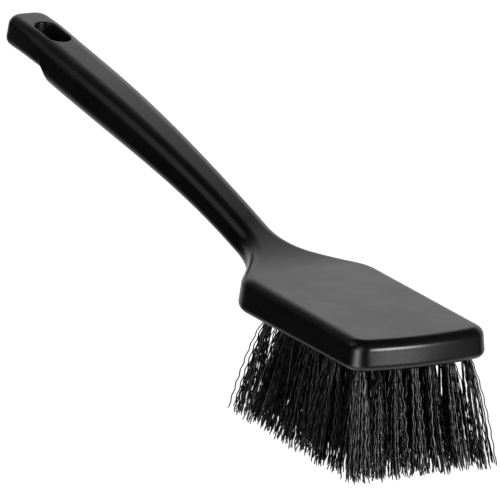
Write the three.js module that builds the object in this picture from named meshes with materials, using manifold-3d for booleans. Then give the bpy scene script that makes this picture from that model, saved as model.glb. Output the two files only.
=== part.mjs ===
// Car wheel brush: one moulded block and handle, set with flared tufts of crimped filament.
// Millimetres. +X points to the front of the head and +Z up. The brush stands on its tuft tips
// at Z = 0, and the origin is the middle of the bristle field's working face.
import * as THREE from 'three';
import { ParametricGeometry } from 'three/addons/geometries/ParametricGeometry.js';
import { mergeVertices } from 'three/addons/utils/BufferGeometryUtils.js';
import Module from 'manifold-3d';

const wasm = await Module();
wasm.setup();

// ---- Overall sizes ----
const overallLength = 418;
const bristleLength = 51.8;

// ---- Head ----
const headLength = 115;
const headWidth = 73.4;
const headThickness = 14.8;
const headWedge = 2;
const frontBow = 2.4;
const frontCornerRadius = 10;
const shoulderSlope = 0.74;
const shoulderRadius = 24;
const neckRadius = 45;
const wallDraft = 0.8;
const headTopFillet = 5;
const headBottomFillet = 3.5;

// ---- Handle: it rises from the head on a slope that eases off along a shallow arch ----
const neckWidth = 20.5;
const neckThickness = 15.4;
const neckFillet = 6.2;
const gripWidth = 28;
const gripThickness = 20.8;
const gripFillet = 8.5;
const rootBehindShoulder = 11;
const rootSink = 5.2;
const rootSlope = 0.35;
const gripRise = 44.4;
const gripSlope = 0.14;
const tabDroop = 1.7;
const junctionBlend = 9;

// ---- Hanging tab at the end of the handle ----
const tabLength = 44.5;
const tabStepLength = 10;
const tabThickness = 14.4;
const tabEndThickness = 16.4;
const tabBottomFillet = 4.6;
const tabEndFillet = 5.6;
const tabEndWidth = 25.6;
const tabCornerRadius = 9.5;
const slotLength = 27.8;
const slotWidth = 11.6;
const slotEndMargin = 20.2;

// ---- Tufts and the blind holes they are set in ----
const tuftRows = 9;
const tuftColumns = 7;
const frontLip = 12.6;
const rearLip = 17.6;
const sideLip = 8.8;
const holeRadius = 2.4;
const holeDepth = 12;
const tuftClearance = 0.3;
const tipGap = 0.4;
const rowFlare = 1.255;
const columnFlare = 1.21;
const tipSquareness = 4;

// ---- Fineness of the round stretches ----
const bowSteps = 3;
const cornerSteps = 5;
const filletSteps = 3;
const handleSteps = 18;
const stepSteps = 5;
const tabSteps = 3;
const tuftSides = 12;
const slotSides = 12;

// ---- Derived places ----
const halfHead = headWidth / 2;
const blockBottom = bristleLength;
const blockTop = blockBottom + headThickness;
const fieldLength = headLength - frontLip - rearLip;
const rowPitch = fieldLength / (tuftRows - 1);
const columnPitch = (headWidth - 2 * sideLip) / (tuftColumns - 1);
const headFront = fieldLength / 2 + frontLip;
const shoulderX = headFront - headLength;
const neckX = shoulderX - (halfHead - neckWidth / 2) / shoulderSlope;
const rootX = shoulderX - rootBehindShoulder;
const handleEnd = headFront - overallLength;
const tabX = handleEnd + tabLength;
const gripX = tabX + tabStepLength;
const slotX = handleEnd + slotEndMargin + slotLength / 2;

const plastic = { color: 0x141416, roughness: 0.42, metalness: 0 };
const filament = { color: 0x0c0c0d, roughness: 0.38, metalness: 0 };

// Rises from 0 to 1 with level ends as x goes from start to end.
function ease(x, start, end) {
  return THREE.MathUtils.smootherstep((x - start) / (end - start), 0, 1);
}

// The larger of two heights, rounded only where the two are less than the blend apart.
function blendedMax(a, b, blend) {
  const share = Math.max(0, 1 - Math.abs(a - b) / blend);
  return Math.max(a, b) + (share * share * blend) / 4;
}

// ---- Side profile of the moulding ----
// The axis is a cubic from the root to the grip, with a set slope at both ends. Beyond, it droops a little.
function handleAxisHeight(x) {
  const span = rootX - gripX;
  const back = rootX - x;
  const middle = blockBottom + headThickness / 2;
  if (back <= 0) return middle - rootSink + rootSlope * back;
  if (back >= span) {
    const droop = tabDroop * ((gripX - x) / (gripX - handleEnd)) ** 2;
    return middle + gripRise + gripSlope * (gripX - x) - droop;
  }
  const t = back / span;
  const blend = t * t * (3 - 2 * t);
  const bend = span * (rootSlope * t * (1 - t) ** 2 - gripSlope * t * t * (1 - t));
  return middle - rootSink + (gripRise + rootSink) * blend + bend;
}

function gripShare(x) {
  return ease(-x, -neckX, -gripX);
}

function handleThickness(x) {
  return THREE.MathUtils.lerp(neckThickness, gripThickness, gripShare(x));
}

function topHeight(x) {
  const handleTop = handleAxisHeight(x) + handleThickness(x) / 2;
  return blendedMax(blockTop, handleTop, junctionBlend);
}

// The block's lower face drops a little from the front to the shoulders, where the block is thicker.
function undersideHeight(x) {
  return blockBottom - (headWedge * (headFront - x)) / headLength;
}

function bottomHeight(x) {
  const handleBottom = handleAxisHeight(x) - handleThickness(x) / 2;
  const along = THREE.MathUtils.clamp((tabX - x) / tabLength, 0, 1);
  const thickness = THREE.MathUtils.lerp(tabThickness, tabEndThickness, along);
  const tabLift = (gripThickness - thickness) * ease(-x, -gripX, -tabX);
  return blendedMax(undersideHeight(x), handleBottom, junctionBlend) + tabLift;
}

// Edge rounding: small on the head, large on the handle, less again on the thin tab.
function handleFillet(x, headFillet) {
  const onNeck = THREE.MathUtils.lerp(headFillet, neckFillet, ease(-x, -shoulderX, -neckX));
  return THREE.MathUtils.lerp(onNeck, gripFillet, gripShare(x));
}

function topFillet(x) {
  const toEnd = ease(-x, -gripX, -handleEnd - tabCornerRadius);
  return THREE.MathUtils.lerp(handleFillet(x, headTopFillet), tabEndFillet, toEnd);
}

function bottomFillet(x) {
  const toTab = ease(-x, -gripX, -tabX);
  return THREE.MathUtils.lerp(handleFillet(x, headBottomFillet), tabBottomFillet, toTab);
}

// ---- Plan outline of the moulding, its +Y half, from the front round to the handle's end ----
function handleHalfWidth(x) {
  const toEnd = ease(-x, -gripX, -handleEnd);
  const gripSide = THREE.MathUtils.lerp(gripWidth, tabEndWidth, toEnd);
  return THREE.MathUtils.lerp(neckWidth, gripSide, gripShare(x)) / 2;
}

// Points of an arc that rounds the corner between two straight directions.
function roundedCorner(corner, from, to, radius, steps) {
  const dirIn = corner.clone().sub(from).normalize();
  const dirOut = to.clone().sub(corner).normalize();
  const turn = Math.acos(dirIn.dot(dirOut));
  const side = Math.sign(dirIn.cross(dirOut));
  const start = corner.clone().addScaledVector(dirIn, -radius * Math.tan(turn / 2));
  const normal = new THREE.Vector2(-dirIn.y, dirIn.x).multiplyScalar(side);
  const centre = start.clone().addScaledVector(normal, radius);
  return Array.from({ length: steps + 1 }, (_, i) =>
    start.clone().rotateAround(centre, (side * turn * i) / steps));
}

function halfOutline() {
  const bowX = (y) => headFront - frontBow * (y / (halfHead - frontCornerRadius)) ** 2;
  const bowEnd = halfHead - frontCornerRadius;
  const bow = Array.from({ length: bowSteps }, (_, i) => {
    const y = (bowEnd * i) / bowSteps;
    return new THREE.Vector2(bowX(y), y);
  });
  const bowSlope = (2 * frontBow) / bowEnd;
  const frontCorner = new THREE.Vector2(bowX(bowEnd) - bowSlope * frontCornerRadius, halfHead);
  const bowTangent = new THREE.Vector2(bowX(bowEnd), bowEnd);
  const shoulder = new THREE.Vector2(shoulderX, halfHead);
  const neck = new THREE.Vector2(neckX, neckWidth / 2);
  const alongHandle = new THREE.Vector2(neckX - neckRadius, neckWidth / 2);
  const headSide = roundedCorner(shoulder, frontCorner, neck, shoulderRadius, cornerSteps);
  const neckSide = roundedCorner(neck, shoulder, alongHandle, neckRadius, cornerSteps);
  const lastNeck = neckSide[neckSide.length - 1].x;
  const side = (from, to, steps) => Array.from({ length: steps }, (_, i) => {
    const x = THREE.MathUtils.lerp(from, to, (i + 1) / steps);
    return new THREE.Vector2(x, handleHalfWidth(x));
  });
  const endCorner = new THREE.Vector2(handleEnd, tabEndWidth / 2);
  const endMiddle = new THREE.Vector2(handleEnd, 0);
  const tabSide = new THREE.Vector2(tabX, tabEndWidth / 2);
  return [
    ...bow,
    ...roundedCorner(frontCorner, bowTangent, shoulder, frontCornerRadius, cornerSteps),
    ...headSide,
    ...neckSide,
    ...side(lastNeck, gripX, handleSteps),
    ...side(gripX, tabX, stepSteps),
    ...side(tabX, handleEnd + 2 * tabCornerRadius, tabSteps),
    ...roundedCorner(endCorner, tabSide, endMiddle, tabCornerRadius, cornerSteps),
    endMiddle,
  ];
}

// The whole outline as a closed ring, each point with its outward normal.
function outlineRing() {
  const half = halfOutline();
  const mirrored = half.slice(1, -1).reverse().map((p) => new THREE.Vector2(p.x, -p.y));
  const ring = [...half, ...mirrored];
  return ring.map((point, i) => {
    const before = ring[(i + ring.length - 1) % ring.length];
    const after = ring[(i + 1) % ring.length];
    const inDir = point.clone().sub(before).normalize();
    const outDir = after.clone().sub(point).normalize();
    const tangent = inDir.add(outDir).normalize();
    return { point, normal: new THREE.Vector2(tangent.y, -tangent.x) };
  });
}

// ---- Cross profile: from the bottom's middle line round the edge and over to the top's ----
function profilePoints() {
  const arc = Array.from({ length: filletSteps + 1 }, (_, i) => (i / filletSteps) * (Math.PI / 2));
  const bottom = arc.map((a) => ({ face: 'bottom', inset: 1 - Math.sin(a), drop: 1 - Math.cos(a) }));
  const top = arc.map((a) => ({ face: 'top', inset: 1 - Math.cos(a), drop: 1 - Math.sin(a) }));
  return [{ face: 'bottomMiddle' }, ...bottom, ...top, { face: 'topMiddle' }];
}

// Drops the faces that have no area and keeps positions only, as a closed indexed surface.
function closedSurface(geometry) {
  geometry.deleteAttribute('normal');
  geometry.deleteAttribute('uv');
  const merged = mergeVertices(geometry, 1e-3);
  const index = merged.index.array;
  const kept = [];
  for (let i = 0; i < index.length; i += 3) {
    const [a, b, c] = [index[i], index[i + 1], index[i + 2]];
    if (a !== b && b !== c && c !== a) kept.push(a, b, c);
  }
  merged.setIndex(kept);
  return merged;
}

function toSolid(geometry) {
  return new wasm.Manifold(new wasm.Mesh({
    numProp: 3,
    vertProperties: new Float32Array(geometry.attributes.position.array),
    triVerts: new Uint32Array(geometry.index.array),
  }));
}

function toGeometry(solid) {
  const mesh = solid.getMesh();
  const geometry = new THREE.BufferGeometry();
  geometry.setAttribute('position', new THREE.BufferAttribute(mesh.vertProperties, 3));
  geometry.setIndex(new THREE.BufferAttribute(mesh.triVerts, 1));
  geometry.computeVertexNormals();
  return geometry;
}

// ---- Block and handle ----
function mouldingGeometry() {
  const ring = outlineRing();
  const profile = profilePoints();
  const headMiddle = headFront - halfHead;
  const tabMiddle = handleEnd + gripWidth / 2;
  const surface = (u, v, target) => {
    const { point, normal } = ring[Math.round(u * ring.length) % ring.length];
    const step = profile[Math.round(v * (profile.length - 1))];
    const middle = THREE.MathUtils.clamp(point.x, tabMiddle, headMiddle);
    if (step.face === 'topMiddle') return target.set(middle, 0, topHeight(middle));
    if (step.face === 'bottomMiddle') return target.set(middle, 0, bottomHeight(middle));
    const isTop = step.face === 'top';
    const fillet = isTop ? topFillet(point.x) : bottomFillet(point.x);
    const inset = step.inset * fillet + (isTop ? wallDraft : 0);
    const x = point.x - normal.x * inset;
    const y = point.y - normal.y * inset;
    const z = isTop ? topHeight(x) - step.drop * fillet : bottomHeight(x) + step.drop * fillet;
    return target.set(x, y, z);
  };
  return closedSurface(new ParametricGeometry(surface, ring.length, profile.length - 1));
}

function tuftHole(x, y) {
  const hole = new THREE.CylinderGeometry(holeRadius, holeRadius, 2 * holeDepth, tuftSides);
  hole.rotateX(Math.PI / 2);
  hole.translate(x, y, undersideHeight(x));
  return toSolid(closedSurface(hole));
}

// Straight-sided opening with round ends, right through the tab.
function hangingSlot() {
  const reach = (slotLength - slotWidth) / 2;
  const shape = new THREE.Shape();
  shape.absarc(reach, 0, slotWidth / 2, -Math.PI / 2, Math.PI / 2, false);
  shape.absarc(-reach, 0, slotWidth / 2, Math.PI / 2, (3 * Math.PI) / 2, false);
  const depth = 4 * gripThickness;
  const slot = new THREE.ExtrudeGeometry(shape, { depth, bevelEnabled: false, curveSegments: slotSides / 2 });
  slot.translate(slotX, 0, handleAxisHeight(slotX) - depth / 2);
  return toSolid(closedSurface(slot));
}

function blockAndHandle(places) {
  const body = toSolid(mouldingGeometry());
  const cuts = [hangingSlot(), ...places.map((p) => tuftHole(p.hole.x, p.hole.y))];
  return toGeometry(cuts.reduce((solid, cut) => solid.subtract(cut), body));
}

// ---- Tufts: round where they are gripped in the hole, spread to fill their share of the face ----
// Every second row has one tuft fewer and stands half a pitch across, and spreads as wide as the others.
function tuftPlaces() {
  const tipsWidth = tuftColumns * columnPitch * columnFlare;
  const places = [];
  for (let row = 0; row < tuftRows; row += 1) {
    const columns = tuftColumns - (row % 2);
    const cell = new THREE.Vector2(rowPitch * rowFlare, tipsWidth / columns);
    const halfCell = cell.clone().subScalar(tipGap).multiplyScalar(0.5);
    for (let column = 0; column < columns; column += 1) {
      const along = (tuftRows - 1) / 2 - row;
      const across = column - (columns - 1) / 2;
      places.push({
        name: `tuft_r${row + 1}_c${column + 1}`,
        hole: new THREE.Vector2(along * rowPitch, across * columnPitch),
        tips: new THREE.Vector2(along * cell.x, across * cell.y),
        halfCell,
      });
    }
  }
  return places;
}

function tuftGeometry(place) {
  const root = holeRadius - tuftClearance;
  const mouth = undersideHeight(place.hole.x);
  const rootTop = mouth + holeDepth - tuftClearance;
  const levels = [
    { z: 0, size: 0, atTip: true },
    { z: 0, size: 1, atTip: true },
    { z: mouth, size: 1 },
    { z: rootTop, size: 1 },
    { z: rootTop, size: 0 },
  ];
  const surface = (u, v, target) => {
    const level = levels[Math.round(v * (levels.length - 1))];
    const angle = 2 * Math.PI * ((Math.round(u * tuftSides) % tuftSides) / tuftSides);
    const [cos, sin] = [Math.cos(angle), Math.sin(angle)];
    if (!level.atTip) {
      const radius = root * level.size;
      return target.set(place.hole.x + radius * cos, place.hole.y + radius * sin, level.z);
    }
    const power = tipSquareness;
    const square = (Math.abs(cos) ** power + Math.abs(sin) ** power) ** (-1 / power);
    const x = place.tips.x + place.halfCell.x * square * level.size * cos;
    const y = place.tips.y + place.halfCell.y * square * level.size * sin;
    return target.set(x, y, 0);
  };
  const geometry = closedSurface(new ParametricGeometry(surface, tuftSides, levels.length - 1));
  geometry.computeVertexNormals();
  return geometry;
}

// ---- The assembly ----
function part(name, geometry, finish) {
  const mesh = new THREE.Mesh(geometry, new THREE.MeshStandardMaterial(finish));
  mesh.name = name;
  return mesh;
}

const places = tuftPlaces();
const brush = new THREE.Group();
brush.add(part('block_and_handle', blockAndHandle(places), plastic));
for (const place of places) brush.add(part(place.name, tuftGeometry(place), filament));

export default brush;
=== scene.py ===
"""Wheel brush: a moulded block and long handle, set with flared tufts of crimped filament.

Laid out as a Blender add-on and run as a script. Lengths are metres in the CAD model's frame:
+X to the front of the head, +Z up out of the block's back, tips of the filament at Z 0.
"""

from math import pi, radians

import bmesh
import bpy
import numpy as np
from bpy.props import FloatProperty, FloatVectorProperty, IntProperty, PointerProperty
from bpy.types import Operator, Panel, PropertyGroup
from mathutils import Matrix, Vector


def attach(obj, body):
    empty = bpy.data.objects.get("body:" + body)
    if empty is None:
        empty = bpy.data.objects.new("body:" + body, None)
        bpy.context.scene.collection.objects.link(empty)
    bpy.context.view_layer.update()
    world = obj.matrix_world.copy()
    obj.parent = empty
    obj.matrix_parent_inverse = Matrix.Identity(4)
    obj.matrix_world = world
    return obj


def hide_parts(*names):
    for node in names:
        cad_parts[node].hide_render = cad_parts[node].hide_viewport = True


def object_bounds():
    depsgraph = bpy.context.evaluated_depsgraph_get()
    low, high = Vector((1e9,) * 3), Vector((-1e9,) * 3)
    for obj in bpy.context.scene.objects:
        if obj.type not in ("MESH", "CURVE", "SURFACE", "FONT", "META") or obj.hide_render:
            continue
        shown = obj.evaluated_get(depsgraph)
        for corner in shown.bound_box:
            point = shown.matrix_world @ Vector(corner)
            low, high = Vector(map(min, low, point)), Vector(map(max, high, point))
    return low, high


bl_info = {
    "name": "Wheel Brush",
    "version": (1, 0, 0),
    "blender": (4, 5, 0),
    "location": "View3D > Sidebar > Wheel Brush",
    "description": "Builds a moulded wheel brush with crimped filament tufts around its CAD frame",
    "category": "Object",
}

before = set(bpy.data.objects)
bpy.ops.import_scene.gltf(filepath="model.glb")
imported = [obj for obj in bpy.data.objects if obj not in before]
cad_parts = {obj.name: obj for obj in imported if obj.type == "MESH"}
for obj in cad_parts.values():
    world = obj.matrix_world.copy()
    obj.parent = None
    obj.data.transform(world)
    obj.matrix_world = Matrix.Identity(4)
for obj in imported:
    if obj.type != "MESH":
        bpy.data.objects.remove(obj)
cad_low, cad_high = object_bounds()

BODY = "root"
MOULDING_NODE = "block_and_handle"

# ---- Fixed shape of the moulding, in metres ----
FRONT_BOW = 0.0024
FRONT_CORNER_RADIUS = 0.010
HEAD_WEDGE = 0.002
SHOULDER_SLOPE = 0.74
SHOULDER_RADIUS = 0.024
NECK_RADIUS = 0.045
WALL_DRAFT = 0.0008
NECK_FILLET = 0.0062
GRIP_FILLET = 0.0085
ROOT_BEHIND_SHOULDER = 0.011
ROOT_SINK = 0.0052
ROOT_SLOPE = 0.35
GRIP_RISE = 0.0444
GRIP_SLOPE = 0.14
TAB_DROOP = 0.0017
JUNCTION_BLEND = 0.009
TAB_LENGTH = 0.0445
TAB_STEP_LENGTH = 0.010
TAB_THICKNESS = 0.0144
TAB_END_THICKNESS = 0.0164
TAB_BOTTOM_FILLET = 0.0046
TAB_END_FILLET = 0.0056
TAB_END_WIDTH = 0.0256
TAB_CORNER_RADIUS = 0.0095
SLOT_END_MARGIN = 0.0202
FRONT_LIP = 0.0126
REAR_LIP = 0.0176
SIDE_LIP = 0.0088
TUFT_ROWS = 9
TUFT_COLUMNS = 7
HOLE_RADIUS = 0.0024
HOLE_DEPTH = 0.012
HOLE_CHAMFER = 0.0003
CUTTER_OVERSHOOT = 0.002
TUFT_TOP_GAP = 0.0003
ANCHOR_DROP = 0.001
ROW_FLARE = 1.255
COLUMN_FLARE = 1.21

# ---- Fineness: steps along each stretch of the outline and round each rounding ----
BOW_STEPS = 14
CORNER_STEPS = 12
SHOULDER_STEPS = 18
SIDE_STEPS = 9
SHORT_STEPS = 3
HANDLE_POINTS = 90
TAB_STEP_POINTS = 20
TAB_POINTS = 14
FILLET_POINTS = 10
SLOT_SIDES = 64
HOLE_SIDES = 24
ANCHOR_SIDES = 16

# ---- How a tuft's filaments fall: lengths in metres, and scatter, lean and bow as standard deviations ----
REAR_LEAN = 0.0026
EDGE_BAND = 0.6
LOCKS = 7
LOCK_SCATTER = 0.55
LOCK_GATHER = 0.42
EDGE_LOCK_GATHER = 0.2
TIPS_OVERLAP = 1.04
TUFT_LEAN = 0.00055
LOCK_LEAN = 0.0007
LOOSE_LEAN = 0.00035
STRAY_SHARE = 0.035
STRAY_LEAN = 0.0016
STRAY_LIMIT = 0.0012
OPENING_POWER = (0.6, 1.1)
INNER_EXTRA_POWER = 0.2
LOOSE_BOW = 0.00045
LOCK_BOW = 0.0004
FACING_SCATTER = 0.35
PHASE_SCATTER = 0.7
WAVE_RANGE = (0.9, 1.12)
SWING_RANGE = (0.75, 1.25)
CRIMP_ONSET = 0.1
LOOSE_SHORTNESS = 0.0009
LOCK_SHORTNESS = 0.0007
MOST_SHORT = 0.0034
HOLE_WALL_GAP = 0.00012
FILAMENT_SIDES = 3
TIP_TAPER = 0.72
STEPS_IN_A_WAVE = 4

# ---- Camera: bearing, height and roll of the view, its distance, and where the head's middle sits ----
VIEW_BEARING = 60.151
VIEW_HEIGHT = 16.55
VIEW_ROLL = 3.0
VIEW_DISTANCE = 2.6
VIEW_LENS = 400.03
SENSOR_WIDTH = 36.0
VIEW_TARGET = (-0.005, 0.0, 0.0551)
TARGET_ACROSS = 0.224
TARGET_UP = -0.15

# ---- Lamps: place, target, width and height, and power ----
LAMPS = {
    "front_box": ((2.1, 0.62, 0.4), (0.03, 0, 0.06), (0.7, 0.5), 28),
    "corner_strip": ((0.75, -1.7, -0.1), (0, 0, 0.06), (0.4, 0.9), 3),
}

# ---- Light from round about. A glow has its bearing and height in degrees, the nearness to that
# ---- direction where it starts and where it is full, and its strength.
WALL_BEARING = 138
WALL_SIDES = (0.4, 0.88)
WALL_TOP = (0.46, 0.74)
FLOOR_LIGHT = (-0.9, -0.35, 1.4, 0)
GLOWS = {
    "ahead": (24, -26, 0.72, 0.97, 0.3),
    "left": (-126, 36, 0.9, 0.98, 0.6),
    "near and low": (-68, -16, 0.89, 0.985, 4.6),
    "near": (-54, 18, 0.92, 0.985, 1.5),
}
SEEN_WHITE = 1.05
FLOOR_DROP = 0.0002
FLOOR_GLOW = 0.97


# ---------------------------------------------------------------- settings


class MouldingSettings(PropertyGroup):
    """Sizes and finish of the block and handle."""

    overall_length: FloatProperty(
        name="Overall length", description="Front of the block to the end of the handle",
        default=0.418, min=0.2, max=0.8, unit="LENGTH")
    head_length: FloatProperty(
        name="Head length", description="Front of the block to its shoulders",
        default=0.115, min=0.05, max=0.2, unit="LENGTH")
    head_width: FloatProperty(
        name="Head width", description="Width of the block",
        default=0.0734, min=0.03, max=0.15, unit="LENGTH")
    head_thickness: FloatProperty(
        name="Head thickness", description="Thickness of the block",
        default=0.0148, min=0.008, max=0.04, unit="LENGTH")
    top_radius: FloatProperty(
        name="Top edge radius", description="Rounding of the block's upper edge",
        default=0.005, min=0.0005, max=0.007, unit="LENGTH")
    bottom_radius: FloatProperty(
        name="Bottom edge radius", description="Rounding of the block's lower edge",
        default=0.0035, min=0.0003, max=0.005, unit="LENGTH")
    neck_width: FloatProperty(
        name="Neck width", description="Width of the handle where it leaves the block",
        default=0.0205, min=0.01, max=0.04, unit="LENGTH")
    neck_thickness: FloatProperty(
        name="Neck thickness", description="Thickness of the handle where it leaves the block",
        default=0.0154, min=0.008, max=0.03, unit="LENGTH")
    grip_width: FloatProperty(
        name="Grip width", description="Width of the handle where it is held",
        default=0.028, min=0.015, max=0.05, unit="LENGTH")
    grip_thickness: FloatProperty(
        name="Grip thickness", description="Thickness of the handle where it is held",
        default=0.0208, min=0.01, max=0.04, unit="LENGTH")
    slot_length: FloatProperty(
        name="Slot length", description="Length of the hanging slot",
        default=0.0278, min=0.01, max=0.05, unit="LENGTH")
    slot_width: FloatProperty(
        name="Slot width", description="Width of the hanging slot",
        default=0.0116, min=0.005, max=0.02, unit="LENGTH")
    slot_rim: FloatProperty(
        name="Slot rim radius", description="Rounding of the slot's two rims",
        default=0.0009, min=0.0002, max=0.002, unit="LENGTH")
    colour: FloatVectorProperty(
        name="Plastic colour", description="Colour of the moulded plastic",
        default=(0.0065, 0.0065, 0.007), size=3, min=0, max=1, subtype="COLOR")
    roughness: FloatProperty(
        name="Plastic roughness", description="Roughness of the moulded plastic",
        default=0.28, min=0, max=1, subtype="FACTOR")


class FilamentSettings(PropertyGroup):
    """Sizes and finish of the filament tufts and their anchors."""

    bristle_length: FloatProperty(
        name="Filament length", description="Length of the filament that shows under the block",
        default=0.0518, min=0.01, max=0.12, unit="LENGTH")
    count: IntProperty(
        name="Filaments in a tuft", description="How many filaments each tuft has",
        default=32, min=8, max=90)
    thickness: FloatProperty(
        name="Filament thickness", description="Diameter of one filament",
        default=0.0008, min=0.0002, max=0.001, unit="LENGTH")
    crimp_wave: FloatProperty(
        name="Crimp wave", description="Length of one wave of the crimp",
        default=0.0072, min=0.002, max=0.02, unit="LENGTH")
    crimp_height: FloatProperty(
        name="Crimp height", description="How far the crimp swings to one side",
        default=0.00036, min=0, max=0.002, unit="LENGTH")
    seed: IntProperty(
        name="Seed", description="Changes how the filaments fall", default=11, min=0)
    colour: FloatVectorProperty(
        name="Filament colour", description="Colour of the filament",
        default=(0.004, 0.004, 0.0043), size=3, min=0, max=1, subtype="COLOR")
    tip_colour: FloatVectorProperty(
        name="Tip colour", description="Colour of the cut and rubbed tips",
        default=(0.016, 0.016, 0.017), size=3, min=0, max=1, subtype="COLOR")
    roughness: FloatProperty(
        name="Filament roughness", description="Roughness of the filament",
        default=0.25, min=0, max=1, subtype="FACTOR")
    anchor_colour: FloatVectorProperty(
        name="Anchor colour", description="Colour of the stainless anchors",
        default=(0.56, 0.55, 0.53), size=3, min=0, max=1, subtype="COLOR")


class StageSettings(PropertyGroup):
    """Floor and light of the studio."""

    floor_size: FloatProperty(
        name="Floor size", description="Side of the square floor",
        default=30.0, min=2, max=60, unit="LENGTH")
    floor_colour: FloatVectorProperty(
        name="Floor colour", description="Colour of the floor",
        default=(0.8, 0.8, 0.8), size=3, min=0, max=1, subtype="COLOR")
    sky: FloatProperty(
        name="Backdrop light", description="Strength of the light wall behind the object",
        default=1.0, min=0, max=5)
    room: FloatProperty(
        name="Room light", description="Strength of the light from the darker side",
        default=0.014, min=0, max=5)


# ---------------------------------------------------------------- mesh and node helpers


def new_object(name, mesh):
    """A new object at the origin, in the scene's own collection."""
    made = bpy.data.objects.new(name, mesh)
    bpy.context.scene.collection.objects.link(made)
    return made


def mesh_from_arrays(name, points, loops, sizes):
    """A mesh from an array of points, the corners of all faces in one row, and each face's size."""
    loops = np.asarray(loops, np.int32).ravel()
    mesh = bpy.data.meshes.new(name)
    mesh.vertices.add(len(points))
    mesh.vertices.foreach_set("co", np.asarray(points, np.float32).ravel())
    mesh.loops.add(len(loops))
    mesh.loops.foreach_set("vertex_index", loops)
    mesh.polygons.add(len(sizes))
    starts = np.concatenate([[0], np.cumsum(sizes)[:-1]])
    mesh.polygons.foreach_set("loop_start", starts.astype(np.int32))
    mesh.polygons.foreach_set("loop_total", np.asarray(sizes, np.int32))
    mesh.update(calc_edges=True)
    mesh.validate()
    return mesh


def ring_grid(rings, around):
    """Quads between neighbouring rings of the same number of points, closed round each ring."""
    row = np.arange(rings - 1)[:, None] * around
    column = np.arange(around)[None, :]
    following = (column + 1) % around
    quads = np.stack(
        [row + column, row + following, row + around + following, row + around + column], -1)
    return quads.reshape(-1, 4)


def weld(mesh, distance):
    """Merges doubled points, drops faces without area and turns every face outwards."""
    work = bmesh.new()
    work.from_mesh(mesh)
    bmesh.ops.remove_doubles(work, verts=work.verts, dist=distance)
    bmesh.ops.dissolve_degenerate(work, edges=work.edges, dist=distance)
    bmesh.ops.recalc_face_normals(work, faces=work.faces)
    work.to_mesh(mesh)
    work.free()


def unit_circle(points):
    """Points of a level circle of radius 1, evenly spaced and anticlockwise from above."""
    turn = np.linspace(0, 2 * pi, points, endpoint=False)
    return np.stack([np.cos(turn), np.sin(turn), 0 * turn], 1)


def closed_tubes(name, stacks, rising=True):
    """Solids with flat ends in one mesh, from stacks of rings: stacks by levels by points by 3."""
    copies, count, around = stacks.shape[:3]
    way = 1 if rising else -1
    quads = ring_grid(count, around)[:, ::way]
    first = np.arange(around)[::-way]
    last = (count - 1) * around + np.arange(around)[::way]
    loops = np.concatenate([quads.ravel(), first, last])
    sizes = np.concatenate([np.full(len(quads), 4), [around, around]])
    shift = np.arange(copies)[:, None] * count * around
    return mesh_from_arrays(name, stacks.reshape(-1, 3), loops[None] + shift, np.tile(sizes, copies))


def tube_copies(name, levels, centres):
    """The same closed tube at each centre, in one welded mesh."""
    mesh = closed_tubes(name, levels[None] + centres[:, None, None])
    weld(mesh, 1e-7)
    return mesh


def smooth_by_angle(mesh, degrees):
    """Smooth shading, with an edge kept sharp where it turns by more than the angle."""
    mesh.polygons.foreach_set("use_smooth", np.ones(len(mesh.polygons), bool))
    mesh.set_sharp_from_angle(angle=radians(degrees))


def point_values(mesh, name, values):
    """Stores one number for each point as an attribute that a material can read."""
    attribute = mesh.attributes.new(name, "FLOAT", "POINT")
    attribute.data.foreach_set("value", np.asarray(values, np.float32).ravel())


class Nodes:
    """Short calls for building one material's node tree."""

    def __init__(self, tree):
        self.tree = tree
        tree.nodes.clear()

    def add(self, kind, **fields):
        """A node of that kind, with its fields set."""
        node = self.tree.nodes.new(kind)
        for name, value in fields.items():
            setattr(node, name, value)
        return node

    def link(self, source, target):
        """Joins two sockets."""
        self.tree.links.new(source, target)

    def noise(self, vector, scale, detail=3.0, rough=0.5):
        """Noise of that many waves to the metre."""
        node = self.add("ShaderNodeTexNoise")
        node.inputs["Scale"].default_value = scale
        node.inputs["Detail"].default_value = detail
        node.inputs["Roughness"].default_value = rough
        self.link(vector, node.inputs["Vector"])
        return node.outputs["Fac"]

    def span(self, value, low, high, new_low, new_high):
        """Carries a value from one range to another and holds it there."""
        node = self.add("ShaderNodeMapRange", interpolation_type="SMOOTHSTEP")
        for socket, number in zip(node.inputs[1:5], (low, high, new_low, new_high)):
            socket.default_value = number
        self.link(value, node.inputs["Value"])
        return node.outputs["Result"]

    def math(self, kind, first, second):
        """A sum, product or other rule of two values or numbers."""
        node = self.add("ShaderNodeMath", operation=kind)
        for socket, value in zip(node.inputs, (first, second)):
            if isinstance(value, (int, float)):
                socket.default_value = value
            else:
                self.link(value, socket)
        return node.outputs["Value"]

    def mix(self, share, first, second):
        """A colour between two, by a share from 0 to 1."""
        node = self.add("ShaderNodeMix", data_type="RGBA")
        self.link(share, node.inputs["Factor"])
        for socket, value in zip((node.inputs[6], node.inputs[7]), (first, second)):
            if isinstance(value, (tuple, list)):
                socket.default_value = (*value, 1.0)
            else:
                self.link(value, socket)
        return node.outputs[2]

    def bump(self, height, strength, distance, normal=None):
        """A bumped normal, over another one if that is given."""
        node = self.add("ShaderNodeBump")
        node.inputs["Strength"].default_value = strength
        node.inputs["Distance"].default_value = distance
        self.link(height, node.inputs["Height"])
        if normal is not None:
            self.link(normal, node.inputs["Normal"])
        return node.outputs["Normal"]


def new_material(name):
    """A node material with one Principled shader: its nodes, the shader, and Object coordinates."""
    material = bpy.data.materials.new(name)
    material.use_nodes = True
    nodes = Nodes(material.node_tree)
    shader = nodes.add("ShaderNodeBsdfPrincipled")
    output = nodes.add("ShaderNodeOutputMaterial")
    nodes.link(shader.outputs["BSDF"], output.inputs["Surface"])
    place = nodes.add("ShaderNodeTexCoord").outputs["Object"]
    return material, nodes, shader, place


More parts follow.
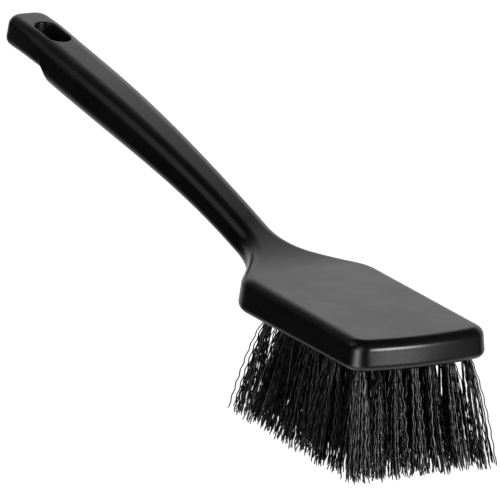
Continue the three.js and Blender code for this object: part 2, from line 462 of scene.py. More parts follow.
def stretched(nodes, place, scale, turn):
    """Object coordinates turned about Z and stretched by three numbers."""
    mapping = nodes.add("ShaderNodeMapping")
    mapping.inputs["Scale"].default_value = scale
    mapping.inputs["Rotation"].default_value = (0, 0, turn)
    nodes.link(place, mapping.inputs["Vector"])
    return mapping.outputs["Vector"]


def shades(colour, factor):
    """A colour made lighter or darker."""
    return tuple(min(1.0, channel * factor) for channel in colour)


# ---------------------------------------------------------------- shape of the moulding


def ease(value, start, end):
    """0 at start and 1 at end, level at both: 6t^5 - 15t^4 + 10t^3."""
    t = np.clip((value - start) / (end - start), 0, 1)
    return t * t * t * (t * (6 * t - 15) + 10)


def lerp(first, second, share):
    """The value that share of the way from the first to the second."""
    return first + (second - first) * share


def blended_max(first, second, blend):
    """The larger of two heights, rounded only where the two are less than the blend apart."""
    share = np.maximum(0, 1 - np.abs(first - second) / blend)
    return np.maximum(first, second) + share * share * blend / 4


class Moulding:
    """The block and handle as functions of the place along X."""

    def __init__(self, settings, bristle_length):
        self.s = settings
        self.bottom = bristle_length
        self.top = self.bottom + settings.head_thickness
        self.half_head = settings.head_width / 2
        self.field_length = settings.head_length - FRONT_LIP - REAR_LIP
        self.front = self.field_length / 2 + FRONT_LIP
        self.shoulder = self.front - settings.head_length
        self.neck = self.shoulder - (self.half_head - settings.neck_width / 2) / SHOULDER_SLOPE
        self.root = self.shoulder - ROOT_BEHIND_SHOULDER
        self.end = self.front - settings.overall_length
        self.tab = self.end + TAB_LENGTH
        self.grip = self.tab + TAB_STEP_LENGTH
        self.slot = self.end + SLOT_END_MARGIN + settings.slot_length / 2

    def grip_share(self, x):
        """0 at the neck and 1 at the grip."""
        return ease(x, self.neck, self.grip)

    def axis_height(self, x):
        """A cubic from the root to the grip with a set slope at both ends; beyond, it droops a little."""
        span = self.root - self.grip
        back = self.root - x
        middle = (self.bottom + self.top) / 2
        t = np.clip(back / span, 0, 1)
        rise = t * t * (3 - 2 * t)
        bend = span * (ROOT_SLOPE * t * (1 - t) ** 2 - GRIP_SLOPE * t * t * (1 - t))
        inside = middle - ROOT_SINK + (GRIP_RISE + ROOT_SINK) * rise + bend
        before = middle - ROOT_SINK + ROOT_SLOPE * back
        droop = TAB_DROOP * ((self.grip - x) / (self.grip - self.end)) ** 2
        after = middle + GRIP_RISE + GRIP_SLOPE * (self.grip - x) - droop
        return np.where(back <= 0, before, np.where(back >= span, after, inside))

    def thickness(self, x):
        """Thickness of the handle."""
        return lerp(self.s.neck_thickness, self.s.grip_thickness, self.grip_share(x))

    def top_height(self, x):
        """Height of the upper face on the middle line."""
        return blended_max(self.top, self.axis_height(x) + self.thickness(x) / 2, JUNCTION_BLEND)

    def underside_height(self, x):
        """Height of the block's lower face, which drops a little from the front to the shoulders."""
        return self.bottom - HEAD_WEDGE * (self.front - x) / self.s.head_length

    def bottom_height(self, x):
        """Height of the lower face on the middle line, with the step up to the thinner tab."""
        along = np.clip((self.tab - x) / TAB_LENGTH, 0, 1)
        tab_thickness = lerp(TAB_THICKNESS, TAB_END_THICKNESS, along)
        lift = (self.s.grip_thickness - tab_thickness) * ease(x, self.grip, self.tab)
        under = self.axis_height(x) - self.thickness(x) / 2
        return blended_max(self.underside_height(x), under, JUNCTION_BLEND) + lift

    def handle_fillet(self, x, head_fillet):
        """Edge rounding: small on the head, growing along the neck to the grip."""
        on_neck = lerp(head_fillet, NECK_FILLET, ease(x, self.shoulder, self.neck))
        return lerp(on_neck, GRIP_FILLET, self.grip_share(x))

    def top_fillet(self, x):
        """Rounding of the upper edge."""
        to_end = ease(x, self.grip, self.end + TAB_CORNER_RADIUS)
        return lerp(self.handle_fillet(x, self.s.top_radius), TAB_END_FILLET, to_end)

    def bottom_fillet(self, x):
        """Rounding of the lower edge."""
        to_tab = ease(x, self.grip, self.tab)
        return lerp(self.handle_fillet(x, self.s.bottom_radius), TAB_BOTTOM_FILLET, to_tab)

    def half_width(self, x):
        """Half the handle's width."""
        grip_side = lerp(self.s.grip_width, TAB_END_WIDTH, ease(x, self.grip, self.end))
        return lerp(self.s.neck_width, grip_side, self.grip_share(x)) / 2

    def surface_height(self, x, y, upper):
        """Height of the upper or lower face at a place: the middle line's, less the edge's rounding."""
        fillet = self.top_fillet(x) if upper else self.bottom_fillet(x)
        inset = self.half_width(x) - np.abs(y) - (WALL_DRAFT if upper else 0)
        share = np.clip(1 - inset / fillet, 0, 1)
        drop = fillet * (1 - np.sqrt(1 - share * share))
        return self.top_height(x) - drop if upper else self.bottom_height(x) + drop


def rounded_corner(corner, before, after, radius, steps):
    """Points of the arc that rounds the corner between two straight sides."""
    corner, before, after = (np.asarray(p, float) for p in (corner, before, after))
    into = (corner - before) / np.linalg.norm(corner - before)
    out = (after - corner) / np.linalg.norm(after - corner)
    turn = np.arccos(into @ out)
    side = np.sign(into[0] * out[1] - into[1] * out[0])
    start = corner - into * radius * np.tan(turn / 2)
    centre = start + radius * side * np.array([-into[1], into[0]])
    angle = side * turn * np.linspace(0, 1, steps + 1)[:, None]
    arm = start - centre
    across = np.array([-arm[1], arm[0]])
    return centre + arm * np.cos(angle) + across * np.sin(angle)


def between(first, second, steps):
    """Points strictly between two, evenly spaced."""
    return lerp(first, second, np.linspace(0, 1, steps + 2)[1:-1, None])


def half_outline(m):
    """Plan of the +Y half, from the front's middle round the shoulder and neck to the handle's end."""
    bow_end = m.half_head - FRONT_CORNER_RADIUS
    y = np.linspace(0, bow_end, BOW_STEPS + 1)[:-1]
    bow = np.stack([m.front - FRONT_BOW * (y / bow_end) ** 2, y], 1)
    tangent = (m.front - FRONT_BOW, bow_end)
    front_corner = (m.front - FRONT_BOW - 2 * FRONT_BOW / bow_end * FRONT_CORNER_RADIUS, m.half_head)
    shoulder = (m.shoulder, m.half_head)
    neck = (m.neck, m.s.neck_width / 2)
    along = (m.neck - NECK_RADIUS, m.s.neck_width / 2)
    corner = rounded_corner(front_corner, tangent, shoulder, FRONT_CORNER_RADIUS, CORNER_STEPS)
    head_side = rounded_corner(shoulder, front_corner, neck, SHOULDER_RADIUS, SHOULDER_STEPS)
    neck_side = rounded_corner(neck, shoulder, along, NECK_RADIUS, SHOULDER_STEPS)
    x = np.concatenate([
        np.linspace(neck_side[-1, 0], m.grip, HANDLE_POINTS)[1:],
        np.linspace(m.grip, m.tab, TAB_STEP_POINTS)[1:],
        np.linspace(m.tab, m.end + 2 * TAB_CORNER_RADIUS, TAB_POINTS)[1:]])
    handle = np.stack([x, m.half_width(x)], 1)
    end_corner = (m.end, TAB_END_WIDTH / 2)
    end_middle = np.array([m.end, 0.0])
    tab_side = (m.tab, TAB_END_WIDTH / 2)
    end = rounded_corner(end_corner, tab_side, end_middle, TAB_CORNER_RADIUS, CORNER_STEPS)
    return np.concatenate([
        bow, corner, between(corner[-1], head_side[0], SIDE_STEPS), head_side,
        between(head_side[-1], neck_side[0], SHORT_STEPS), neck_side, handle, end,
        between(end[-1], end_middle, SHORT_STEPS), end_middle[None]])


def outline_ring(m):
    """The whole plan as a closed ring, with the outward normal at each point."""
    half = half_outline(m)
    ring = np.concatenate([half, half[1:-1][::-1] * (1, -1)])
    tangent = np.roll(ring, -1, 0) - np.roll(ring, 1, 0)
    tangent /= np.linalg.norm(tangent, axis=1)[:, None]
    return ring, np.stack([tangent[:, 1], -tangent[:, 0]], 1)


def side_surface(m, ring, normal, sine, cosine, upper):
    """One line round the edge: inset 1 - cosine and drop 1 - sine of the edge's rounding."""
    fillet = m.top_fillet(ring[:, 0]) if upper else m.bottom_fillet(ring[:, 0])
    inset = (1 - cosine) * fillet + (WALL_DRAFT if upper else 0)
    place = ring - normal * inset[:, None]
    drop = (1 - sine) * fillet
    x = place[:, 0]
    height = m.top_height(x) - drop if upper else m.bottom_height(x) + drop
    return np.column_stack([place, height])


def moulding_levels(m):
    """Rings from the lower face's middle line over the edges to the upper face's middle line.

    Across each face a ring slides evenly from the rounded edge to the middle line, at the face's height.
    """
    ring, normal = outline_ring(m)
    middle = np.clip(ring[:, 0], m.end + m.s.grip_width / 2, m.front - m.half_head)
    arc = np.linspace(0, pi / 2, FILLET_POINTS)
    bottom = [side_surface(m, ring, normal, np.cos(a), np.sin(a), False) for a in arc]
    top = [side_surface(m, ring, normal, np.sin(a), np.cos(a), True) for a in arc]
    top[0] = side_surface(m, ring, normal, 0.0, 1.0, True)
    shares = np.array([0.03, 0.12, 0.3, 0.5, 0.75, 1.0])
    wall = [lerp(bottom[-1], top[0], share) for share in (0.06, 0.3, 0.55, 0.8, 0.94)]

    def face(edge, height):
        lines = []
        for share in shares:
            x = lerp(edge[:, 0], middle, share)
            y = edge[:, 1] * (1 - share)
            lines.append(np.column_stack([x, y, height(x)]))
        return lines

    under = face(bottom[0], m.bottom_height)[::-1]
    over = face(top[-1], m.top_height)
    return np.stack([*under, *bottom, *wall, *top, *over])


def moulding_blank(m):
    """The uncut moulding as one closed mesh."""
    levels = moulding_levels(m)
    count, around = levels.shape[:2]
    quads = ring_grid(count, around)
    mesh = mesh_from_arrays("moulding_blank", levels.reshape(-1, 3), quads, np.full(len(quads), 4))
    weld(mesh, 1e-6)
    return mesh


def slot_cutter(m):
    """An upright solid with straight sides and round ends, flaring into a rounded rim at both faces."""
    reach = (m.s.slot_length - m.s.slot_width) / 2
    normal = unit_circle(SLOT_SIDES)[:, :2]
    x = m.slot + reach * np.sign(normal[:, 0] + 1e-9)
    side = np.stack([x, 0 * x], 1) + normal * m.s.slot_width / 2
    rim = m.s.slot_rim
    sweep = np.radians(np.linspace(0, 80, 9))
    overshoot = 0.0004
    clear = 0.006

    def line(outward, depth, upper):
        place = side + normal * outward
        height = m.surface_height(place[:, 0], place[:, 1], upper)
        return np.column_stack([place, height - depth if upper else height + depth])

    def flare(upper):
        lines = [line(rim * (1 - np.cos(a)), rim * (1 - np.sin(a)), upper) for a in sweep]
        widest = rim * (1 - np.cos(sweep[-1])) + overshoot
        lines.append(line(widest, -overshoot * 0.12, upper))
        lines.append(line(widest, -clear, upper))
        return lines

    levels = np.stack([*flare(False)[::-1], *flare(True)])
    return tube_copies("slot_cutter", levels, np.zeros((1, 3)))


def hole_cutter(m, places):
    """Upright round cutters for the tuft holes, each with a small chamfer at its mouth."""
    wide = HOLE_RADIUS + 2 * HOLE_CHAMFER
    radii = np.array([wide, wide, HOLE_RADIUS, HOLE_RADIUS])
    heights = np.array([-CUTTER_OVERSHOOT, -HOLE_CHAMFER, HOLE_CHAMFER, HOLE_DEPTH])
    circle = unit_circle(HOLE_SIDES)
    levels = circle[None] * radii[:, None, None] + heights[:, None, None] * (0, 0, 1)
    centres = np.column_stack([places, m.underside_height(places[:, 0])])
    return tube_copies("hole_cutter", levels, centres)


def cut(blank, cutters):
    """The blank with each cutter taken away, as a new mesh."""
    target = new_object("blank", blank)
    tools = [new_object(mesh.name, mesh) for mesh in cutters]
    for tool in tools:
        step = target.modifiers.new(tool.name, "BOOLEAN")
        step.operation = "DIFFERENCE"
        step.solver = "MANIFOLD"
        step.object = tool
    graph = bpy.context.evaluated_depsgraph_get()
    graph.update()
    made = bpy.data.meshes.new_from_object(target.evaluated_get(graph), depsgraph=graph)
    for piece in (target, *tools):
        mesh = piece.data
        bpy.data.objects.remove(piece)
        bpy.data.meshes.remove(mesh)
    return made


def rub_values(mesh):
    """How exposed each point is to rubbing: high on the rounded edges, low on the flat faces and in holes."""
    count = len(mesh.vertices)
    place = np.zeros(count * 3, np.float32)
    normal = np.zeros(count * 3, np.float32)
    mesh.vertices.foreach_get("co", place)
    mesh.vertices.foreach_get("normal", normal)
    place, normal = place.reshape(-1, 3), normal.reshape(-1, 3)
    lean = np.abs(normal[:, 2])
    off_wall, off_face = 0.3, 0.15
    edge = np.clip(lean / off_wall, 0, 1) * np.clip((1 - lean) / off_face, 0, 1)
    handle_ends, head_starts, handle_rub = -0.09, -0.06, 0.45
    return edge * lerp(handle_rub, 1.0, ease(place[:, 0], handle_ends, head_starts))


# ---------------------------------------------------------------- tufts


def tuft_places(m):
    """Name, middle in the hole, middle at the tips and share of the tips of every tuft, row 1 at the front.

    Every second row has one tuft fewer and stands half a pitch across, and spreads as wide as the others.
    """
    row_pitch = m.field_length / (TUFT_ROWS - 1)
    column_pitch = (m.s.head_width - 2 * SIDE_LIP) / (TUFT_COLUMNS - 1)
    tips_width = TUFT_COLUMNS * column_pitch * COLUMN_FLARE
    places = []
    for row in range(TUFT_ROWS):
        columns = TUFT_COLUMNS - row % 2
        cell = np.array([row_pitch * ROW_FLARE, tips_width / columns])
        for column in range(columns):
            along = (TUFT_ROWS - 1) / 2 - row
            across = column - (columns - 1) / 2
            hole = np.array([along * row_pitch, across * column_pitch])
            tips = np.array([along, across]) * cell
            places.append((f"r{row + 1}_c{column + 1}", hole, tips, cell))
    return places


def square_from_disk(disk):
    """Spreads points of a unit disk over a unit square, keeping their bearings."""
    length = np.linalg.norm(disk, axis=1) + 1e-9
    largest = np.abs(disk).max(1) + 1e-9
    return disk * (length / largest)[:, None] ** 0.8


def filament_lines(rng, place, flared, cell, at_edge, sizes, heights):
    """Middle lines of one tuft's filaments, an array of filaments by heights by 3.

    Each leaves its place in the round hole, slides sideways towards its place in the tuft's
    share of the tips, bows a little, and swings with the crimp: a sine along its length.
    Filaments of one lock share the crimp's bearing and most of its phase, and lean together.
    Tufts at the edge of the field gather less into locks and open nearer to the block.
    """
    count = sizes.count
    index = np.arange(count) + 0.5
    bearing = index * pi * (3 - 5**0.5) + rng.uniform(0, 2 * pi)
    disk = np.sqrt(index / count)[:, None] * np.stack([np.cos(bearing), np.sin(bearing)], 1)
    hole = disk * (HOLE_RADIUS - sizes.thickness / 2 - HOLE_WALL_GAP)

    lock_disk = rng.normal(0, LOCK_SCATTER, (LOCKS, 2))
    lock = np.argmin(np.linalg.norm(disk[:, None] - lock_disk[None], axis=2), 1)
    lock_middle = np.stack([disk[lock == i].mean(0) if (lock == i).any() else lock_disk[i]
                            for i in range(LOCKS)])
    gathered = lerp(disk, lock_middle[lock], EDGE_LOCK_GATHER if at_edge else LOCK_GATHER)
    spread = square_from_disk(gathered) * cell / 2 * TIPS_OVERLAP
    lean = rng.normal(0, TUFT_LEAN, 2) + rng.normal(0, LOCK_LEAN, (LOCKS, 2))[lock]
    loose = rng.normal(0, LOOSE_LEAN, (count, 2))
    is_stray = rng.uniform(0, 1, count) < STRAY_SHARE
    stray = is_stray[:, None] * rng.normal(0, STRAY_LEAN, (count, 2))
    tip = flared + spread + lean + loose + stray
    start = place + hole

    mouth = heights[2]
    fall = np.clip((mouth - heights) / mouth, 0, 1)
    power = rng.uniform(*OPENING_POWER, count) + (0 if at_edge else INNER_EXTRA_POWER)
    share = fall[None] ** power[:, None]
    line = start[:, None] + (tip - start)[:, None] * share[..., None]
    bow = rng.normal(0, LOOSE_BOW, (count, 2)) + rng.normal(0, LOCK_BOW, (LOCKS, 2))[lock]
    line = line + bow[:, None] * np.sin(pi * fall)[None, :, None]

    facing = rng.uniform(0, pi, LOCKS)[lock] + rng.normal(0, FACING_SCATTER, count)
    phase = rng.uniform(0, 2 * pi, LOCKS)[lock] + rng.normal(0, PHASE_SCATTER, count)
    wave = sizes.crimp_wave * rng.uniform(*WAVE_RANGE, count)
    swing = sizes.crimp_height * rng.uniform(*SWING_RANGE, count)
    along = (mouth - heights)[None]
    crimp = np.sin(2 * pi * along / wave[:, None] + phase[:, None])
    crimp = crimp * swing[:, None] * np.clip(fall / CRIMP_ONSET, 0, 1)[None]
    side = np.stack([np.cos(facing), np.sin(facing)], 1)
    line = line + crimp[..., None] * side[:, None]

    short = np.abs(rng.normal(0, LOOSE_SHORTNESS, count))
    short = short + np.abs(rng.normal(0, LOCK_SHORTNESS, LOCKS))[lock]
    short = np.clip(short, 0, MOST_SHORT)
    lift = short[:, None] * fall[None] ** 2
    height = np.broadcast_to(heights[None], lift.shape) + lift
    line = np.concatenate([line, height[..., None]], 2)
    limit_low = np.array([*cad_low[:2], 0]) + (0, -STRAY_LIMIT, sizes.thickness / 2)
    limit_high = np.array([*cad_high[:2], 1]) + (STRAY_LIMIT, STRAY_LIMIT, 0)
    return np.clip(line, limit_low, limit_high), rng.uniform(0, 1, count)


def filament_mesh(name, lines, shade, thickness):
    """Closed tubes round the middle lines, their sections level, tapering a little at the tip."""
    levels = lines.shape[1]
    circle = unit_circle(FILAMENT_SIDES) * thickness / 2
    taper = np.ones(levels)
    taper[-1] = TIP_TAPER
    stacks = lines[:, :, None] + circle[None, None] * taper[None, :, None, None]
    mesh = closed_tubes(name, stacks, rising=False)
    mesh.polygons.foreach_set("use_smooth", np.ones(len(mesh.polygons), bool))
    along = np.linspace(0, 1, levels)
    point_values(mesh, "along", np.broadcast_to(along[None, :, None], stacks.shape[:3]))
    point_values(mesh, "shade", np.broadcast_to(shade[:, None, None], stacks.shape[:3]))
    return mesh


def anchor_mesh(places, heights):
    """Flat strips on edge across the holes: a rounded outline carried through the strip's thickness."""
    half_length = 0.0022
    half_height = 0.0007
    half_thick = 0.00016
    round_off = 0.00006
    squareness = 0.35
    shape = unit_circle(ANCHOR_SIDES)[:, :2]
    shape = np.sign(shape) * np.abs(shape) ** squareness
    levels = []
    for side, shrink in ((-half_thick, round_off), (round_off - half_thick, 0),
                         (half_thick - round_off, 0), (half_thick, round_off)):
        x = shape[:, 0] * (half_length - shrink)
        z = shape[:, 1] * (half_height - shrink)
        levels.append(np.column_stack([x, np.full(len(x), side), z]))
    mesh = tube_copies("anchors", np.stack(levels), np.column_stack([places, heights]))
    smooth_by_angle(mesh, 40)
    return mesh


# ---------------------------------------------------------------- materials


def moulded_plastic(settings):
    """Black satin plastic with the fine grain of a spark-eroded mould, soft flow marks and rubbed edges."""
    material, nodes, shader, place = new_material("moulded_black_plastic")
    grain = nodes.noise(place, 2600, 2)
    cloud = nodes.noise(place, 38, 4, 0.6)
    flow = nodes.noise(stretched(nodes, place, (14, 70, 70), 0.06), 1, 3)
    fine_scuff = nodes.noise(stretched(nodes, place, (90, 1500, 600), 0.5), 1, 2)
    cross_scuff = nodes.noise(stretched(nodes, place, (1300, 110, 600), -0.4), 1, 2)
    scuff = nodes.math("MAXIMUM", nodes.span(fine_scuff, 0.70, 0.80, 0, 1),
                       nodes.span(cross_scuff, 0.72, 0.82, 0, 1))
    rub = nodes.add("ShaderNodeAttribute", attribute_name="rub").outputs["Fac"]
    worn = nodes.math("MULTIPLY", rub, nodes.span(cloud, 0.35, 0.7, 0.2, 1))

    base = nodes.mix(nodes.span(cloud, 0.3, 0.7, 0, 1),
                     shades(settings.colour, 0.85), shades(settings.colour, 1.15))
    base = nodes.mix(nodes.math("MULTIPLY", scuff, 0.35), base, shades(settings.colour, 2.2))
    base = nodes.mix(nodes.math("MULTIPLY", worn, 0.4), base, shades(settings.colour, 1.6))
    nodes.link(base, shader.inputs["Base Color"])

    rough = nodes.span(cloud, 0.25, 0.75, settings.roughness - 0.035, settings.roughness + 0.035)
    rough = nodes.math("ADD", rough, nodes.math("MULTIPLY", scuff, 0.08))
    rough = nodes.math("SUBTRACT", rough, nodes.math("MULTIPLY", worn, 0.05))
    nodes.link(rough, shader.inputs["Roughness"])
    shader.inputs["IOR"].default_value = 1.49
    normal = nodes.bump(flow, 0.25, 0.00012)
    normal = nodes.bump(grain, 0.08, 0.00002, normal)
    nodes.link(nodes.bump(scuff, 0.10, 0.00002, normal), shader.inputs["Normal"])
    return material


def crimped_filament(settings):
    """Black polyester: each filament a little lighter or darker, paler and rougher at its cut tip."""
    material, nodes, shader, place = new_material("crimped_black_filament")
    along = nodes.add("ShaderNodeAttribute", attribute_name="along").outputs["Fac"]
    shade = nodes.add("ShaderNodeAttribute", attribute_name="shade").outputs["Fac"]
    streak = nodes.noise(stretched(nodes, place, (1800, 1800, 300), 0), 1, 2)
    tip = nodes.span(along, 0.9, 1.0, 0, 0.8)
    base = nodes.mix(shade, shades(settings.colour, 0.7), shades(settings.colour, 1.4))
    base = nodes.mix(tip, base, tuple(settings.tip_colour))
    nodes.link(base, shader.inputs["Base Color"])
    rough = nodes.span(shade, 0, 1, settings.roughness - 0.05, settings.roughness + 0.07)
    rough = nodes.math("ADD", rough, nodes.math("MULTIPLY", nodes.math("ADD", streak, tip), 0.08))
    nodes.link(rough, shader.inputs["Roughness"])
    nodes.link(nodes.span(shade, 0.1, 0.9, 0.08, 0.95), shader.inputs["Specular IOR Level"])
    shader.inputs["IOR"].default_value = 1.53
    nodes.link(nodes.bump(streak, 0.2, 0.00003), shader.inputs["Normal"])
    return material


def stainless_strip(settings):
    """Stainless strip with fine rolling lines along it and a cloudy tarnish."""
    material, nodes, shader, place = new_material("stainless_strip")
    lines = nodes.noise(stretched(nodes, place, (300, 2000, 6000), 0), 1, 2)
    tarnish = nodes.noise(place, 900, 3)
    base = nodes.mix(nodes.span(tarnish, 0.3, 0.7, 0, 1),
                     shades(settings.anchor_colour, 0.8), tuple(settings.anchor_colour))
    nodes.link(base, shader.inputs["Base Color"])
    shader.inputs["Metallic"].default_value = 1.0
    nodes.link(nodes.span(lines, 0.3, 0.7, 0.24, 0.4), shader.inputs["Roughness"])
    nodes.link(nodes.bump(lines, 0.3, 0.00001), shader.inputs["Normal"])
    return material


def pale_floor(settings):
    """Matt white floor with a faint unevenness, glowing so that it shows hardly any shadow."""
    material, nodes, shader, place = new_material("pale_floor")
    cloud = nodes.noise(place, 3, 2)
    nodes.link(nodes.mix(cloud, shades(settings.floor_colour, 0.98), tuple(settings.floor_colour)),
               shader.inputs["Base Color"])
    nodes.link(nodes.span(cloud, 0, 1, 0.8, 0.9), shader.inputs["Roughness"])
    nodes.link(nodes.bump(cloud, 0.05, 0.001), shader.inputs["Normal"])
    shader.inputs["Specular IOR Level"].default_value = 0.1
    shader.inputs["Emission Color"].default_value = (1, 1, 1, 1)
    shader.inputs["Emission Strength"].default_value = FLOOR_GLOW
    return material


# ---------------------------------------------------------------- stage


def view_axes():
    """The camera's right, up and backward directions, from its bearing, height and roll."""
    bearing, height, roll = (radians(a) for a in (VIEW_BEARING, VIEW_HEIGHT, VIEW_ROLL))
    back = np.array([np.sin(bearing) * np.cos(height), -np.cos(bearing) * np.cos(height), np.sin(height)])
    level = np.array([np.cos(bearing), np.sin(bearing), 0])
    upright = np.cross(level, -back)
    right = np.cos(roll) * level + np.sin(roll) * upright
    up = -np.sin(roll) * level + np.cos(roll) * upright
    return right, up, back


def make_camera():
    """A long lens at the view's place, with the head's middle right of and below the frame's middle."""
    right, up, back = view_axes()
    half_angle = SENSOR_WIDTH / 2 / VIEW_LENS
    aside = right * TARGET_ACROSS * 2 * half_angle * VIEW_DISTANCE
    raised = up * TARGET_UP * 2 * half_angle * VIEW_DISTANCE
    place = np.array(VIEW_TARGET) - aside - raised + back * VIEW_DISTANCE
    camera = bpy.data.objects.new("camera", bpy.data.cameras.new("camera"))
    bpy.context.scene.collection.objects.link(camera)
    camera.matrix_world = Matrix.Translation(Vector(place)) @ Matrix(
        np.stack([right, up, back], 1).tolist()).to_4x4()
    camera.data.sensor_width = SENSOR_WIDTH
    camera.data.lens = VIEW_LENS
    camera.data.clip_start = 0.1
    camera.data.clip_end = 60
    bpy.context.scene.camera = camera


def make_light(name, place, target, size, power):
    """A soft rectangular lamp that faces the target and isn't itself seen."""
    data = bpy.data.lights.new(name, "AREA")
    data.shape = "RECTANGLE"
    data.size, data.size_y = size
    data.energy = power
    lamp = bpy.data.objects.new(name, data)
    bpy.context.scene.collection.objects.link(lamp)
    lamp.location = place
    lamp.rotation_euler = (Vector(target) - Vector(place)).to_track_quat("-Z", "Y").to_euler()
    lamp.visible_camera = False


def towards(nodes, direction, bearing, height):
    """How nearly a direction points to a bearing and height in degrees: 1 when it does, -1 when away."""
    toward = nodes.add("ShaderNodeVectorMath", operation="DOT_PRODUCT")
    nodes.link(direction, toward.inputs[0])
    bearing, height = radians(bearing), radians(height)
    toward.inputs[1].default_value = (
        np.cos(bearing) * np.cos(height), np.sin(bearing) * np.cos(height), np.sin(height))
    return toward.outputs["Value"]


def make_world(settings):
    """A low light wall behind the object, light from below, soft glows round about and a dim room."""
    world = bpy.data.worlds.new("studio")
    world.use_nodes = True
    bpy.context.scene.world = world
    nodes = Nodes(world.node_tree)
    direction = nodes.add("ShaderNodeTexCoord").outputs["Generated"]
    apart = nodes.add("ShaderNodeSeparateXYZ")
    nodes.link(direction, apart.inputs[0])
    rising = apart.outputs["Z"]
    behind = nodes.span(towards(nodes, direction, WALL_BEARING, 0), *WALL_SIDES, 0, 1)
    low = nodes.span(rising, *WALL_TOP, 1, 0)
    light = nodes.math("MULTIPLY", nodes.math("MULTIPLY", behind, low), settings.sky)
    light = nodes.math("MAXIMUM", light, nodes.span(rising, *FLOOR_LIGHT))
    for bearing, height, start, full, strength in GLOWS.values():
        glow = nodes.span(towards(nodes, direction, bearing, height), start, full, 0, strength)
        light = nodes.math("MAXIMUM", light, glow)
    light = nodes.math("ADD", light, settings.room)
    seen = nodes.add("ShaderNodeLightPath").outputs["Is Camera Ray"]
    strength = nodes.math("MAXIMUM", light, nodes.math("MULTIPLY", seen, SEEN_WHITE))
    background = nodes.add("ShaderNodeBackground")
    nodes.link(strength, background.inputs["Strength"])
    output = nodes.add("ShaderNodeOutputWorld")
    nodes.link(background.outputs["Background"], output.inputs["Surface"])


def make_floor(settings):
    """A large flat grid just under the tips, seen by the camera but not by reflected or scattered light."""
    cells = 8
    line = np.linspace(-0.5, 0.5, cells + 1) * settings.floor_size
    x, y = np.meshgrid(line, line)
    points = np.stack([x.ravel(), y.ravel(), np.full(x.size, -FLOOR_DROP)], 1)
    row = (np.arange(cells)[:, None] * (cells + 1) + np.arange(cells)[None]).ravel()
    quads = np.stack([row, row + 1, row + cells + 2, row + cells + 1], 1)
    mesh = mesh_from_arrays("floor", points, quads, np.full(len(quads), 4))
    floor = new_object("floor", mesh)
    floor.data.materials.append(pale_floor(settings))
    floor.visible_glossy = False
    floor.visible_diffuse = False


# ---------------------------------------------------------------- operators


def current_moulding(context):
    """The moulding's shape for the scene's settings."""
    return Moulding(context.scene.brush_moulding, context.scene.brush_filament.bristle_length)


def hole_places(m):
    """Middle of every tuft hole in plan."""
    return np.array([hole for _, hole, _, _ in tuft_places(m)])


class BRUSH_OT_stage(Operator):
    """Make the camera, lights and floor"""

    bl_idname = "brush.stage"
    bl_label = "Stage"

    def execute(self, context):
        settings = context.scene.brush_stage
        context.scene.view_settings.view_transform = "Standard"
        make_camera()
        make_world(settings)
        make_floor(settings)
        for name, (place, target, size, power) in LAMPS.items():
            make_light(name, place, target, size, power)
        return {"FINISHED"}


class BRUSH_OT_moulding(Operator):
    """Make the block and handle with its slot and tuft holes"""

    bl_idname = "brush.moulding"
    bl_label = "Block and handle"

    def execute(self, context):
        m = current_moulding(context)
        mesh = cut(moulding_blank(m), [slot_cutter(m), hole_cutter(m, hole_places(m))])
        mesh.name = "moulded_body"
        if len(mesh.vertices) == 0:
            raise RuntimeError("the moulding came out empty after its holes were cut")
        weld(mesh, 1e-6)
        smooth_by_angle(mesh, 32)
        point_values(mesh, "rub", rub_values(mesh))
        mesh.materials.clear()
        mesh.materials.append(moulded_plastic(m.s))
        body = new_object("moulded_body", mesh)
        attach(body, BODY)
        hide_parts(MOULDING_NODE)
        return {"FINISHED"}


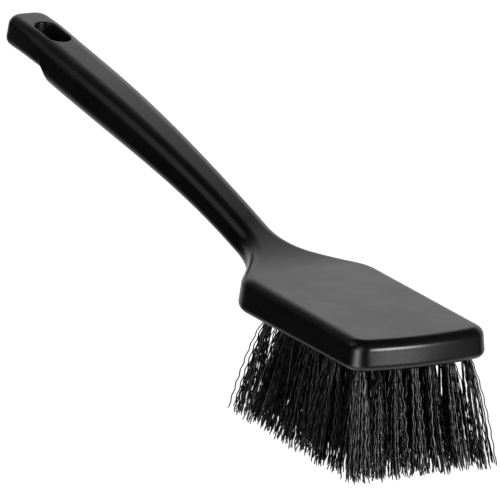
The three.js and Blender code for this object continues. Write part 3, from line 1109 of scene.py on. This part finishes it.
class BRUSH_OT_tufts(Operator):
    """Make every filament tuft"""

    bl_idname = "brush.tufts"
    bl_label = "Filament tufts"

    def execute(self, context):
        m = current_moulding(context)
        sizes = context.scene.brush_filament
        rng = np.random.default_rng(sizes.seed)
        material = crimped_filament(sizes)
        edge = EDGE_BAND * (m.half_head - SIDE_LIP)
        steps = int(STEPS_IN_A_WAVE * sizes.bristle_length / sizes.crimp_wave) + 1
        for name, hole, tips, cell in tuft_places(m):
            in_last_row = hole[0] < HOLE_RADIUS - m.field_length / 2
            at_edge = in_last_row or abs(hole[1]) > edge
            tips = tips - (REAR_LEAN * in_last_row, 0)
            mouth = m.underside_height(hole[0])
            top = mouth + HOLE_DEPTH - TUFT_TOP_GAP - sizes.thickness
            inside = [top, mouth + HOLE_DEPTH / 3]
            heights = np.concatenate([inside, np.linspace(mouth, 0, steps)])
            lines, shade = filament_lines(rng, hole, tips, cell, at_edge, sizes, heights)
            mesh = filament_mesh(f"bristles_{name}", lines, shade, sizes.thickness)
            mesh.materials.append(material)
            tuft = new_object(f"bristles_{name}", mesh)
            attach(tuft, BODY)
            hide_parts(f"tuft_{name}")
        return {"FINISHED"}


class BRUSH_OT_anchors(Operator):
    """Make the flat anchors that hold the tufts in their holes"""

    bl_idname = "brush.anchors"
    bl_label = "Tuft anchors"

    def execute(self, context):
        m = current_moulding(context)
        places = hole_places(m)
        mesh = anchor_mesh(places, m.underside_height(places[:, 0]) + HOLE_DEPTH - ANCHOR_DROP)
        mesh.materials.append(stainless_strip(context.scene.brush_filament))
        anchors = new_object("anchors", mesh)
        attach(anchors, BODY)
        return {"FINISHED"}


class BRUSH_PT_panel(Panel):
    """Wheel brush sizes and pieces"""

    bl_label = "Wheel Brush"
    bl_idname = "BRUSH_PT_panel"
    bl_space_type = "VIEW_3D"
    bl_region_type = "UI"
    bl_category = "Wheel Brush"

    def draw(self, context):
        for group in (context.scene.brush_moulding, context.scene.brush_filament, context.scene.brush_stage):
            box = self.layout.box()
            for name in group.__annotations__:
                box.prop(group, name)
        for operator in OPERATORS:
            self.layout.operator(operator.bl_idname)


OPERATORS = (BRUSH_OT_stage, BRUSH_OT_moulding, BRUSH_OT_tufts, BRUSH_OT_anchors)
GROUPS = {
    "brush_moulding": MouldingSettings,
    "brush_filament": FilamentSettings,
    "brush_stage": StageSettings,
}


def register():
    """Registers the settings, operators and panel."""
    for group in (*GROUPS.values(), *OPERATORS, BRUSH_PT_panel):
        bpy.utils.register_class(group)
    for name, group in GROUPS.items():
        setattr(bpy.types.Scene, name, PointerProperty(type=group))


def unregister():
    """Takes them away again."""
    for name in GROUPS:
        delattr(bpy.types.Scene, name)
    for group in (BRUSH_PT_panel, *reversed(OPERATORS), *reversed(GROUPS.values())):
        bpy.utils.unregister_class(group)


def main():
    """Builds every piece in order."""
    register()
    bpy.ops.brush.stage()
    bpy.ops.brush.moulding()
    bpy.ops.brush.tufts()
    bpy.ops.brush.anchors()


if __name__ == "__main__":
    main()
